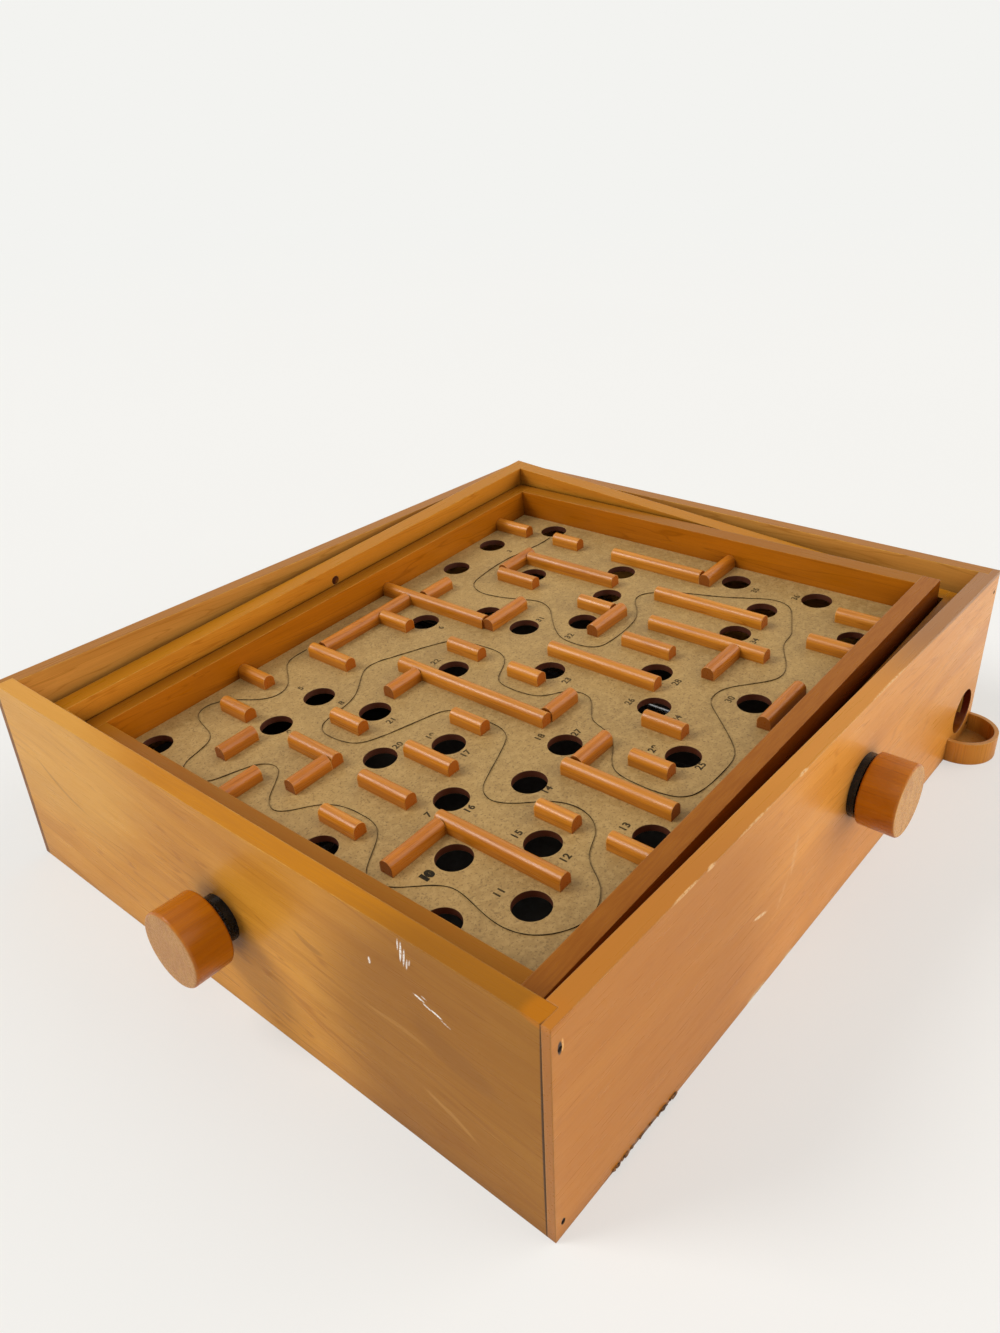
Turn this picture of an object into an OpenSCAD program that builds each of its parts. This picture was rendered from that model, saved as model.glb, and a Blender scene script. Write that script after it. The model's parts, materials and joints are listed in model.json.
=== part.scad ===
// Tilting labyrinth game: a wooden box in which two side knobs tip a maze board about two
// crossed pivot lines. Millimetres. The origin is the centre of the underside. +X runs to the
// right along the front panel, +Y to the back and +Z up. The board is drawn as it stands at
// rest in this copy, tipped by both knobs.

/* [Box] */
// Outside width of the box, along X
box_w = 330; // [326:1:336]
// Outside depth of the box, along Y
box_d = 282; // [278:1:288]
// Height of the side panels
box_h = 85.5; // [82:0.5:90]
// Thickness of the side panels
wall_t = 7; // [6:0.5:8]
// Thickness of the lip by which the front and back panels cover the ends of the sides
lap_t = 3; // [2:0.5:4]
// Thickness of the base board
base_t = 3; // [2:0.5:4]

/* [Tilting frames] */
// Free space between the box and the ring on its left and right
ring_gap_x = 4; // [3:0.5:5]
// Free space between the box and the ring at the front and back
ring_gap_y = 3; // [3:0.5:4]
// Free space between the ring and the board frame on the left and right
frame_gap_x = 2; // [1.5:0.25:3]
// Free space between the ring and the board frame at the front and back
frame_gap_y = 1.5; // [1.25:0.25:2]
// Width of every rail, seen from above
rail_t = 8; // [7:0.5:9]
// Height of the ring rails
ring_rail_h = 12; // [10:0.5:12.5]
// Height of the board frame rails
frame_rail_h = 17.3; // [17:0.1:17.5]
// Height of the crossing point of the pivot lines above the table
pivot_z = 66; // [66:0.5:68]
// Diameter of the pivot pins
pin_d = 4.5; // [4:0.25:5]

/* [Pose at rest] */
// Slope of the ring's pivot line, whose front pin sits lower than the back one
ring_dip = 3.72; // [3.6:0.02:3.8]
// Tilt of the ring about its own pivot line, right side up
ring_rest = 3.9; // [3.8:0.02:4]
// Tilt of the board frame in the ring, back side down
frame_rest = 4.46; // [4.4:0.02:4.5]

/* [Maze board] */
// Thickness of the hardboard
board_t = 3; // [3:0.1:3.2]
// Diameter of the ball holes
hole_d = 14; // [13:0.5:14]
// Width of the maze strips
strip_w = 6; // [5:0.5:6]
// Height of the maze strips
strip_h = 6; // [5:0.5:7]

/* [Knobs and shafts] */
// Diameter of the knobs
knob_d = 29; // [26:1:32]
// Length of the knobs
knob_l = 15; // [14:1:18]
// Rounding of the knob edges
knob_edge = 1; // [0.5:0.25:1.5]
// Diameter of the steel shafts
shaft_d = 3.2; // [3:0.1:3.2]
// Distance of the left shaft behind the middle of the box
left_y = 2; // [0:0.5:4]
// Height of the left shaft
left_z = 40.8; // [39:0.1:41]
// Gap between the left knob and the box
left_gap = 6; // [5:0.5:8]
// Distance of the front shaft to the right of the middle of the box
front_x = 26; // [22:0.5:30]
// Height of the front shaft
front_z = 48; // [46:0.5:48]
// Gap between the front knob and the box
front_gap = 3.5; // [3:0.25:5]
// Diameter of the black washer behind the left knob
left_washer_d = 18; // [16:1:22]
// Diameter of the black washer behind the front knob
front_washer_d = 26; // [22:1:27]

/* [Ball exit] */
// Distance of the exit hole to the right of the middle of the box
exit_x = 149; // [146:0.5:150]
// Height of the middle of the exit hole
exit_z = 19; // [18.5:0.5:21]
// Diameter of the exit hole
exit_d = 22; // [18:1:22]
// Outside width of the catch cup
cup_w = 31; // [28:1:32]
// Height of the catch cup
cup_h = 11; // [9:0.5:13]
// Wall thickness of the catch cup
cup_t = 2; // [1.5:0.5:3]

/* [Hidden] */
$fn = 64;

// Colours as they look on the object
box_wood = "#d39a5c";
rail_wood = "#c4843c";
strip_wood = "#b8713a";
knob_wood = "#a9622c";
cup_wood = "#c98a3e";
hardboard = "#a58e6c";
rubber_black = "#1b1a19";
steel_grey = "#b9bcc0";
cord_black = "#2a2724";

// Inside half sizes of the box, and the outside and inside half sizes of the two frames
in_x = box_w / 2 - wall_t;
in_y = box_d / 2 - wall_t;
ring_x = in_x - ring_gap_x;
ring_y = in_y - ring_gap_y;
ring_in_x = ring_x - rail_t;
ring_in_y = ring_y - rail_t;
frame_x = ring_in_x - frame_gap_x;
frame_y = ring_in_y - frame_gap_y;
board_x = frame_x - rail_t;
board_y = frame_y - rail_t;

// The crossing point of the pivot lines, and the heights of the rails around it
pivot = [-1, -0.8, pivot_z];
ring_top = 7.3;
frame_top = 7.6;
ring_bottom = ring_top - ring_rail_h;
frame_bottom = frame_top - frame_rail_h;
board_top = frame_bottom + board_t;

// Play around a turning pin or shaft, and how deep it sits in a blind bore
play = 0.08;
blind = 4.2;
end_play = 0.3;
pin_r = pin_d / 2;
shaft_r = shaft_d / 2;

// The ball ramp falls to the front right corner
ramp_t = 2;
ramp_low_z = 8;
ramp_fall_x = 1.7;
ramp_fall_y = 2.3;
cleat_w = 6;

// Cords, their eyes and springs
cord_r = 0.6;
winding_turns = 3;
eye_r = 2.4;
eye_wire_r = 0.7;
eye_grip = 6;
ring_eye_z = -19.4;
frame_eye_z = -18;
ring_cord_y = 70;
spring_l = 14;
spring_r = 2.2;
winding_r = shaft_r + 2 * cord_r;
lay_r = shaft_r + cord_r;

// Finishing nails, a pair at every corner of the box
brad_r = 0.8;
brad_l = 20;
brad_head_r = 0.9;
brad_head_l = 1;
brad_low_z = 6;
brad_high_z = 76;

// Middle of each ball hole on the board, from the middle of the board
HOLES = [
  [-127.5, -7], [-128.5, -68], [-106, -87], [-103.5, -50.5], [-80.5, -71.5], [-80.5, -28],
  [-55.5, -3.5], [-56.5, -46], [-57, -101], [-30.5, -43], [-12, -85.5], [9.5, -4],
  [10, -58], [32.5, -44.5], [33.5, -90.5], [78.5, -56.5], [103, -56.5], [122, -32.5],
  [124, -73.5], [99.5, -102.5], [-124, 101.5], [-86, 68.5], [-61, 69.5], [-55.5, 39.5],
  [-77.5, 13.5], [-12.5, 33.5], [12.5, 75.5], [64, 101.5], [95, 103], [126, 84],
  [34.5, 53.5], [33.5, 30], [52, 9], [78, 60.5], [78.5, 14], [103, 22.5]];

// Strips that run front to back: middle in X, then the two ends in Y
ALONG = [
  [-93, -91, -34], [-68, -77, -60], [-68, -board_y, -91.5], [-43.5, -102, -53],
  [-25, -88.5, -71], [-1, -79.5, -61], [-114.5, -15, 4.5], [-92, -18.5, 7.5],
  [-68.5, -18.5, 6], [-41.5, -11, 6], [-24, -29, 54], [-89.5, 81, 98.5],
  [-90.5, 24, 51], [-69, 32, 49.5], [-68, 95, board_y], [-37.5, 74, 100],
  [2.5, 75.5, 93.5], [24.5, 46, board_y], [67.5, 50, 73], [89, 16.5, 71],
  [114, -18, 34.5], [46, -44, -19], [64.5, -79.5, -21], [89.5, -65, -8],
  [22, -52, 4.5], [85.5, -board_y, -88.5], [112.5, -board_y, -89],
  [114.5, 92, board_y], [114.5, 57, 73.5], [64.5, 0.5, 19.5], [1, 28, 47],
  [-1, -8, 9]];

// Strips that run left to right: middle in Y, then the two ends in X
ACROSS = [
  [-37, -123, -96], [-56, -40.5, -20.5], [-26.5, -21, -3.5], [42, -44.5, -27],
  [69, -114.5, -97], [45.5, -board_x, -113.5], [27, -112.5, -93.5],
  [96.5, -34.5, 21.5], [43, 22.5, 48.5], [90, 27.5, 45.5], [74, 70.5, 93.5],
  [-21, 111, board_x], [-65.5, 39, 61.5], [-102, 19.5, 49.5],
  [-2.5, 43.5, 67.5]];

// Places a shape that is drawn about the pivot lines
function turn_x(a, v) = [v.x, cos(a) * v.y - sin(a) * v.z, sin(a) * v.y + cos(a) * v.z];
function turn_y(a, v) = [cos(a) * v.x + sin(a) * v.z, v.y, cos(a) * v.z - sin(a) * v.x];
function ring_point(v) = pivot + turn_x(ring_dip, turn_y(-ring_rest, v));
function frame_point(v) = ring_point(turn_x(-frame_rest, v));

module on_pivot_line() {
  translate(pivot) rotate([ring_dip, 0, 0]) children();
}

module in_ring() {
  on_pivot_line() rotate([0, -ring_rest, 0]) children();
}

module in_frame() {
  in_ring() rotate([-frame_rest, 0, 0]) children();
}

// A block given by its lowest and highest corners
module block(low, high) {
  translate(low) cube(high - low);
}

// A round bar from one point to another
module bar(from, to, r, fn = 24) {
  run = to - from;
  reach = norm(run);
  translate(from) rotate([0, acos(run.z / reach), atan2(run.y, run.x)]) cylinder(h = reach, r = r, $fn = fn);
}

// Bars along the shafts, from a distance outside the box to its far wall
module left_axis(x0, x1, r) {
  translate([x0, left_y, left_z]) rotate([0, 90, 0]) cylinder(h = x1 - x0, r = r);
}

module front_axis(y0, y1, r) {
  translate([front_x, y0, front_z]) rotate([-90, 0, 0]) cylinder(h = y1 - y0, r = r);
}

// Ends of the ring pins, measured along their line so that both sit equally deep in the box
back_pin_end = (in_y + blind - pivot.y) / cos(ring_dip);
front_pin_end = (in_y + blind + pivot.y) / cos(ring_dip);

module ring_pin(side, start, end, r) {
  on_pivot_line() rotate([side * -90, 0, 0]) translate([0, 0, start]) cylinder(h = end - start, r = r);
}

module ring_pin_bores() {
  ring_pin(1, ring_y, back_pin_end + end_play, pin_r + play);
  ring_pin(-1, ring_y, front_pin_end + end_play, pin_r + play);
}

// Frame pins, drawn in the frame's own place
frame_pin_start = frame_x - 6;
frame_pin_end = ring_x - 2;

module frame_pin(side, start, end, r) {
  rotate([0, side * 90, 0]) translate([0, 0, start]) cylinder(h = end - start, r = r);
}

// Box
module brads() {
  for (sx = [-1, 1], sy = [-1, 1], z = [brad_low_z, brad_high_z])
    translate([sx * (box_w - wall_t) / 2, sy * box_d / 2, z]) rotate([sy * 90, 0, 0]) {
      cylinder(h = brad_l, r = brad_r, $fn = 24);
      cylinder(h = brad_head_l, r = brad_head_r, $fn = 24);
    }
}

// A front or back panel, whose lips cover the ends of the side panels
module lapped_panel(side) {
  outer = box_d / 2;
  low_y = side < 0 ? -outer : outer - lap_t;
  inner_y = side < 0 ? -outer + lap_t : outer - wall_t;
  block([-box_w / 2, low_y, 0], [box_w / 2, low_y + lap_t, box_h]);
  block([-in_x, inner_y, 0], [in_x, inner_y + wall_t - lap_t, box_h]);
}

module side_panel(side) {
  mid = side * (box_w - wall_t) / 2;
  reach = box_d / 2 - lap_t;
  block([mid - wall_t / 2, -reach, 0], [mid + wall_t / 2, reach, box_h]);
}

module front_panel() {
  color(box_wood) difference() {
    lapped_panel(-1);
    brads();
    ring_pin_bores();
    front_axis(-box_d / 2 - 1, 0, shaft_r + play);
    translate([exit_x, 0, exit_z]) rotate([90, 0, 0]) cylinder(h = box_d, d = exit_d);
  }
}

module back_panel() {
  color(box_wood) difference() {
    lapped_panel(1);
    brads();
    ring_pin_bores();
    front_axis(0, in_y + blind + end_play, shaft_r + play);
  }
}

module left_panel() {
  color(box_wood) difference() {
    side_panel(-1);
    brads();
    left_axis(-box_w / 2 - 1, 0, shaft_r + play);
  }
}

module right_panel() {
  color(box_wood) difference() {
    side_panel(1);
    brads();
    left_axis(0, in_x + blind + end_play, shaft_r + play);
  }
}

module base_board() {
  color(hardboard) block([-in_x, -in_y, 0], [in_x, in_y, base_t]);
}

// Tips a shape to the slope of the ramp, whose lowest corner is at the exit
module on_ramp() {
  translate([in_x, -in_y, ramp_low_z]) rotate([ramp_fall_y, ramp_fall_x, 0]) children();
}

module ball_ramp() {
  color(hardboard) intersection() {
    on_ramp() block([-1.5 * box_w, -box_d / 2, -ramp_t], [box_w / 2, 1.5 * box_d, 0]);
    block([-in_x, -in_y, 0], [in_x, in_y, box_h]);
  }
}

module ramp_cleats() {
  color(rail_wood) for (side = [-1, 1])
    difference() {
      block([-in_x, side * (in_y - cleat_w / 2) - cleat_w / 2, base_t],
        [in_x, side * (in_y - cleat_w / 2) + cleat_w / 2, box_h / 2]);
      on_ramp() block([-1.5 * box_w, -box_d / 2, -ramp_t], [box_w / 2, 1.5 * box_d, box_h]);
    }
}

// Half round cup outside the exit hole. Its round wall is centred a little in front of the box
cup_stand = 2;
cup_floor_t = 2;

module cup_outline(r) {
  intersection() {
    union() {
      circle(r = r);
      translate([-r, 0]) square([2 * r, cup_w]);
    }
    translate([-cup_w, -cup_w]) square([2 * cup_w, cup_w + cup_stand]);
  }
}

module catch_cup() {
  color(cup_wood) translate([exit_x, -box_d / 2 - cup_stand, 0]) difference() {
    linear_extrude(cup_h) cup_outline(cup_w / 2);
    translate([0, 0, cup_floor_t]) linear_extrude(cup_h) cup_outline(cup_w / 2 - cup_t);
  }
}

module box_brads() {
  color(steel_grey) brads();
}

module left_washer() {
  washer_t = left_gap / 2;
  color(rubber_black) difference() {
    left_axis(-box_w / 2 - washer_t, -box_w / 2, left_washer_d / 2);
    left_axis(-box_w, 0, shaft_r + play);
  }
}

module front_washer() {
  washer_t = front_gap - 0.7;
  color(rubber_black) difference() {
    front_axis(-box_d / 2 - washer_t, -box_d / 2, front_washer_d / 2);
    front_axis(-box_d, 0, shaft_r + play);
  }
}

// Rails. The front and back rails run the full width and the side rails fit between them
module cross_rail(side, half_x, half_y, bottom, top) {
  block([-half_x, side * (half_y - rail_t / 2) - rail_t / 2, bottom],
    [half_x, side * (half_y - rail_t / 2) + rail_t / 2, top]);
}

module side_rail(side, half_x, half_y, bottom, top) {
  block([side * (half_x - rail_t / 2) - rail_t / 2, -half_y + rail_t, bottom],
    [side * (half_x - rail_t / 2) + rail_t / 2, half_y - rail_t, top]);
}

// Screw eye that hangs under a rail: a wire ring and its straight shank
module eye_shank(at, rail_low) {
  translate([at.x, at.y, at.z + eye_r]) cylinder(h = rail_low - at.z - eye_r + eye_grip, r = eye_wire_r, $fn = 24);
}

module screw_eye(at, rail_low, turned) {
  eye_shank(at, rail_low);
  translate(at) rotate([90, 0, turned]) rotate_extrude($fn = 36) translate([eye_r, 0]) circle(r = eye_wire_r, $fn = 16);
}

function ring_eye(side) = [side * (ring_x - rail_t / 2), ring_cord_y, ring_eye_z];
function frame_eye(side) = [0, side * (frame_y - rail_t / 2), frame_eye_z];

module ring_front_rail() {
  color(rail_wood) difference() {
    in_ring() cross_rail(-1, ring_x, ring_y, ring_bottom, ring_top);
    ring_pin(-1, 0, ring_y + 1, pin_r);
  }
}

module ring_back_rail() {
  color(rail_wood) difference() {
    in_ring() cross_rail(1, ring_x, ring_y, ring_bottom, ring_top);
    ring_pin(1, 0, ring_y + 1, pin_r);
  }
}

module ring_side_rail(side) {
  color(rail_wood) in_ring() difference() {
    side_rail(side, ring_x, ring_y, ring_bottom, ring_top);
    frame_pin(side, frame_x, frame_pin_end + end_play, pin_r + play);
    eye_shank(ring_eye(side), ring_bottom);
  }
}

module ring_left_rail() {
  ring_side_rail(-1);
}

module ring_right_rail() {
  ring_side_rail(1);
}

module ring_pivot_pins() {
  color(rail_wood) {
    ring_pin(1, ring_in_y, back_pin_end, pin_r);
    ring_pin(-1, ring_in_y, front_pin_end, pin_r);
  }
}

module ring_cord_eyes() {
  color(steel_grey) in_ring() for (side = [-1, 1]) screw_eye(ring_eye(side), ring_bottom, 0);
}

module frame_cross_rail(side) {
  color(rail_wood) in_frame() difference() {
    cross_rail(side, frame_x, frame_y, frame_bottom, frame_top);
    eye_shank(frame_eye(side), frame_bottom);
  }
}

module frame_front_rail() {
  frame_cross_rail(-1);
}

module frame_back_rail() {
  frame_cross_rail(1);
}

module frame_side_rail(side) {
  color(rail_wood) in_frame() difference() {
    side_rail(side, frame_x, frame_y, frame_bottom, frame_top);
    frame_pin(side, frame_pin_start, frame_x + 1, pin_r);
  }
}

module frame_left_rail() {
  frame_side_rail(-1);
}

module frame_right_rail() {
  frame_side_rail(1);
}

module frame_pivot_pins() {
  color(rail_wood) in_frame() for (side = [-1, 1]) frame_pin(side, frame_pin_start, frame_pin_end, pin_r);
}

module frame_cord_eyes() {
  color(steel_grey) in_frame() for (side = [-1, 1]) screw_eye(frame_eye(side), frame_bottom, 90);
}

// Maze board and the strips glued to it
module maze_board() {
  color(hardboard) in_frame() difference() {
    block([-board_x, -board_y, frame_bottom], [board_x, board_y, board_top]);
    for (hole = HOLES)
      translate([hole.x, hole.y, frame_bottom - 1]) cylinder(h = board_t + 2, d = hole_d);
  }
}

// A strip of the given length along Y, with a half round top, standing on z = 0
module strip(run) {
  rotate([90, 0, 0]) translate([0, 0, -run]) linear_extrude(run) union() {
    translate([-strip_w / 2, 0]) square([strip_w, strip_h - strip_w / 2]);
    translate([0, strip_h - strip_w / 2]) circle(d = strip_w, $fn = 32);
  }
}

module maze_strips_along() {
  color(strip_wood) in_frame() for (s = ALONG)
    translate([s[0], s[1], board_top]) strip(s[2] - s[1]);
}

module maze_strips_across() {
  color(strip_wood) in_frame() for (s = ACROSS)
    translate([s[2], s[0], board_top]) rotate([0, 0, 90]) strip(s[2] - s[1]);
}

// Cords. Each one lies round its shaft and runs straight to an eye on either side, and a
// short tension spring on one side keeps it tight
function unit(v) = v / norm(v);

// Where each cord leaves its shaft: over the front shaft and under the left one
ring_cord_start = [front_x, ring_cord_y, front_z + lay_r];
frame_cord_start = [pivot.x, left_y, left_z - lay_r];

// Length of cord that still hugs the winding before the straight run starts
lead = 3;

// From the start to the wire of an eye, with room for the spring where there is one
module cord_run(start, eye, spring) {
  aim = unit(eye - start);
  bar(start + lead * aim, eye - (eye_r + eye_wire_r + spring) * aim, cord_r, 12);
}

module cord_spring(start, eye) {
  aim = unit(eye - start);
  bar(eye - (eye_r + eye_wire_r + spring_l) * aim, eye - (eye_r + eye_wire_r) * aim, spring_r);
}

module ring_cord() {
  color(cord_black) {
    cord_run(ring_cord_start, ring_point(ring_eye(-1)), spring_l);
    cord_run(ring_cord_start, ring_point(ring_eye(1)), 0);
  }
}

module ring_cord_spring() {
  color(steel_grey) cord_spring(ring_cord_start, ring_point(ring_eye(-1)));
}

module frame_cord() {
  color(cord_black) {
    cord_run(frame_cord_start, frame_point(frame_eye(-1)), spring_l);
    cord_run(frame_cord_start, frame_point(frame_eye(1)), 0);
  }
}

module frame_cord_spring() {
  color(steel_grey) cord_spring(frame_cord_start, frame_point(frame_eye(-1)));
}

// Knobs, shafts and what turns with them
module knob() {
  r = knob_d / 2;
  e = knob_edge;
  rotate_extrude($fn = 96) polygon(concat([[0, 0]],
    [for (a = [-90 : 15 : 0]) [r - e + e * cos(a), e + e * sin(a)]],
    [for (a = [0 : 15 : 90]) [r - e + e * cos(a), knob_l - e + e * sin(a)]], [[0, knob_l]]));
}

knob_bore_l = 12;
clip_r = 4;
clip_t = 0.8;
winding_l = winding_turns * 2 * cord_r;

module left_knob() {
  color(knob_wood) difference() {
    translate([-box_w / 2 - left_gap, left_y, left_z]) rotate([0, -90, 0]) knob();
    left_axis(-box_w / 2 - left_gap - knob_bore_l, 0, shaft_r);
  }
}

module left_shaft() {
  color(steel_grey) left_axis(-box_w / 2 - left_gap - knob_bore_l, in_x + blind, shaft_r);
}

module left_shaft_clip() {
  color(steel_grey) difference() {
    left_axis(-in_x + end_play, -in_x + end_play + clip_t, clip_r);
    left_axis(-box_w, 0, shaft_r);
  }
}

module left_cord_winding() {
  color(cord_black) difference() {
    left_axis(pivot.x - winding_l / 2, pivot.x + winding_l / 2, winding_r);
    left_axis(-box_w, box_w, shaft_r);
  }
}

module front_knob() {
  color(knob_wood) difference() {
    translate([front_x, -box_d / 2 - front_gap, front_z]) rotate([90, 0, 0]) knob();
    front_axis(-box_d / 2 - front_gap - knob_bore_l, 0, shaft_r);
  }
}

module front_shaft() {
  color(steel_grey) front_axis(-box_d / 2 - front_gap - knob_bore_l, in_y + blind, shaft_r);
}

module front_shaft_clip() {
  color(steel_grey) difference() {
    front_axis(-in_y + end_play, -in_y + end_play + clip_t, clip_r);
    front_axis(-box_d, 0, shaft_r);
  }
}

module front_cord_winding() {
  color(cord_black) difference() {
    front_axis(ring_cord_y - winding_l / 2, ring_cord_y + winding_l / 2, winding_r);
    front_axis(-box_d, box_d, shaft_r);
  }
}

front_panel();
back_panel();
left_panel();
right_panel();
base_board();
ball_ramp();
ramp_cleats();
catch_cup();
box_brads();
left_washer();
front_washer();
ring_front_rail();
ring_back_rail();
ring_left_rail();
ring_right_rail();
ring_pivot_pins();
ring_cord_eyes();
ring_cord_spring();
ring_cord();
frame_front_rail();
frame_back_rail();
frame_left_rail();
frame_right_rail();
maze_board();
maze_strips_along();
maze_strips_across();
frame_pivot_pins();
frame_cord_eyes();
frame_cord_spring();
frame_cord();
left_knob();
left_shaft();
left_shaft_clip();
left_cord_winding();
front_knob();
front_shaft();
front_shaft_clip();
front_cord_winding();
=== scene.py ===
import json
import math
import random

import bmesh
import bpy
from mathutils import Matrix, Vector


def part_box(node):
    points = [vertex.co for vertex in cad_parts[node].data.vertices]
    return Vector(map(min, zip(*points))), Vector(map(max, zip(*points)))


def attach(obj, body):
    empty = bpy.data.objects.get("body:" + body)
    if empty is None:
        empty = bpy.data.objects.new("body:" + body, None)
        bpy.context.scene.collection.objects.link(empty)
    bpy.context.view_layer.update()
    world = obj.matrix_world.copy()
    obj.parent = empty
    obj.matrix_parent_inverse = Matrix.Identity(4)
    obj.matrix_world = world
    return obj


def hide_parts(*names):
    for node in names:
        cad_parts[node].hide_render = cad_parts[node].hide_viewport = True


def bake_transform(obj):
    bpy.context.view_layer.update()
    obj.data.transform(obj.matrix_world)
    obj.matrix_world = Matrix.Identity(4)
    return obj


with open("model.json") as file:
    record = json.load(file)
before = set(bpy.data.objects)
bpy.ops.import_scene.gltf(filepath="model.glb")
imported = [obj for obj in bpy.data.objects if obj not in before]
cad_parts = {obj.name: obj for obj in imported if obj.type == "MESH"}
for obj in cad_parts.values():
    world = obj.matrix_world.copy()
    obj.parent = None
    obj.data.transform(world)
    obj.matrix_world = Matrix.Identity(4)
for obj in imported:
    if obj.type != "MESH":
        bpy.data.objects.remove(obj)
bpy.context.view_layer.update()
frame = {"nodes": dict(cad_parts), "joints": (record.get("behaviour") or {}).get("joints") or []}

NODES = frame["nodes"]
JOINTS = {joint["name"]: joint for joint in frame["joints"]}
MM = 0.001
AXES = {"x": (1, 0, 0), "y": (0, 1, 0), "z": (0, 0, 1)}

# The maze board's place at rest: the point that both tilts turn about, the dip of the ring's
# axis towards the front, how far the ring leans, and how far the board frame leans in the ring
PIVOT = Vector(JOINTS["ring_tilt"]["pos_m"])
RING_DIP = math.radians(3.72)
RING_REST = math.radians(3.9)
FRAME_REST = math.radians(4.46)
RING_PLACE = (
    Matrix.Translation(PIVOT)
    @ Matrix.Rotation(RING_DIP, 4, "X")
    @ Matrix.Rotation(-RING_REST, 4, "Y")
)
BOARD_PLACE = RING_PLACE @ Matrix.Rotation(-FRAME_REST, 4, "X")
BOARD_TOP = -6.7 * MM

# The box's outer faces and its walls' thickness, in the millimetres that the marks are placed in
FRONT_LOW, FRONT_HIGH = (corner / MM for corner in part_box("front_panel"))
LEFT_X = FRONT_LOW.x
FRONT_Y = FRONT_LOW.y
TOP_Z = FRONT_HIGH.z
PANEL_T = FRONT_HIGH.y - FRONT_LOW.y

# Shafts, each at the middle of its winding. The ring's cord runs behind the pivot, the frame's
# through it
SHAFT_R = 1.6 * MM
CORD_R = 0.6 * MM
LAY_R = SHAFT_R + CORD_R
RING_CORD_Y = 70 * MM
FRONT_SHAFT = Vector(JOINTS["front_knob_spin"]["pos_m"])
FRONT_SHAFT.y = RING_CORD_Y
LEFT_SHAFT = Vector(JOINTS["left_knob_spin"]["pos_m"])
LEFT_SHAFT.x = PIVOT.x

# The eyes that the cords are tied to: how far out and how far down from the pivot they are
RING_EYE_OUT = 150 * MM
RING_EYE_DOWN = 19.4 * MM
FRAME_EYE_OUT = 117.5 * MM
FRAME_EYE_DOWN = 18 * MM
EYE_R = 2.4 * MM
EYE_WIRE_R = 0.7 * MM
RING_EYES = [RING_PLACE @ Vector((side * RING_EYE_OUT, RING_CORD_Y, -RING_EYE_DOWN)) for side in (-1, 1)]
FRAME_EYES = [BOARD_PLACE @ Vector((0, side * FRAME_EYE_OUT, -FRAME_EYE_DOWN)) for side in (-1, 1)]

# Twine: a cord starts a little way off its shaft
LEAD = 3 * MM
STRANDS = 3
STRAND_R = 0.3 * MM
TWINE_PITCH = 5 * MM
LASHING_TURNS = 4
LASHING_R = 0.75 * MM
LASHING_L = 2.4 * MM
LASHING_BACK = 3 * MM
WINDING_TURNS = 3
WINDING_SQUEEZE = 0.98

# Tension springs, with a hook loop at each end
SPRING_L = 14 * MM
SPRING_R = 2.2 * MM
SPRING_WIRE_R = 0.35 * MM
SPRING_TURNS = 10
HOOK_L = 2 * MM
HOOK_R = 1.1 * MM
HOOK_TURNS = 0.9
HOOK_OUT = 0.9 * MM

# Settings that many nodes share: a Map Range with soft ends, and a Mix of two colours
SOFT = {"interpolation_type": "SMOOTHSTEP"}
COLOURS = {"data_type": "RGBA"}

# The range that most of a noise's values lie in
NOISE_SPAN = (0.3, 0.7)


# Colours and nodes
def linear(code):
    """An sRGB hex colour as the linear RGBA that a shader socket takes."""
    parts = [int(code[i:i + 2], 16) / 255 for i in (1, 3, 5)]
    return tuple(c / 12.92 if c <= 0.04045 else ((c + 0.055) / 1.055) ** 2.4 for c in parts) + (1,)


def socket_of(sockets, key=0):
    """A socket by its name or number, among those that the node's settings leave in use."""
    in_use = [s for s in sockets if s.enabled]
    return in_use[key] if isinstance(key, int) else next(s for s in in_use if s.name == key)


def feed(tree, node, inputs):
    """Links or fills a node's inputs. A node given as a value stands for its first output in
    use, and a hex colour for its linear value."""
    for key, value in inputs.items():
        if isinstance(value, bpy.types.Node):
            value = socket_of(value.outputs)
        if isinstance(value, bpy.types.NodeSocket):
            tree.links.new(value, socket_of(node.inputs, key))
        else:
            socket_of(node.inputs, key).default_value = linear(value) if isinstance(value, str) else value


def add(tree, kind, inputs=None, **settings):
    """Adds one node with its settings, and feeds its inputs."""
    made = tree.nodes.new(kind)
    for name, value in settings.items():
        setattr(made, name, value)
    feed(tree, made, inputs or {})
    return made


def ranges(over, gives=(0.0, 1.0)):
    """The inputs of a Map Range that brings one range to another."""
    return {"From Min": over[0], "From Max": over[1], "To Min": gives[0], "To Max": gives[1]}


def new_material(name):
    """An empty material, its node tree, its Principled shader, and the coordinates and normal of
    the object to draw on."""
    material = bpy.data.materials.new(name)
    material.use_nodes = True
    tree = material.node_tree
    return material, tree, tree.nodes["Principled BSDF"], add(tree, "ShaderNodeTexCoord").outputs


# Patterns and what they do to a colour. Sizes are in millimetres
def noise(tree, where, size, detail=3.0, roughness=0.5, distortion=0.0, shift=(0, 0, 0)):
    """Noise with cells of the given size, one number for all ways or three for X, Y and Z."""
    sizes = size if isinstance(size, (tuple, list)) else (size,) * 3
    placed = add(tree, "ShaderNodeMapping", {
        "Vector": where, "Location": shift, "Scale": [1 / (s * MM) for s in sizes],
    })
    return add(tree, "ShaderNodeTexNoise", {
        "Vector": placed, "Scale": 1.0, "Detail": detail, "Roughness": roughness, "Distortion": distortion,
    })


def across(along, length, width):
    """Cell sizes that are long along the grain and narrow across it."""
    return [length if axis else width for axis in AXES[along]]


def lifted(tree, where, height):
    """Coordinates raised by a height that changes from place to place."""
    lift = add(tree, "ShaderNodeCombineXYZ", {"Z": height})
    return add(tree, "ShaderNodeVectorMath", {0: where, 1: lift})


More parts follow.
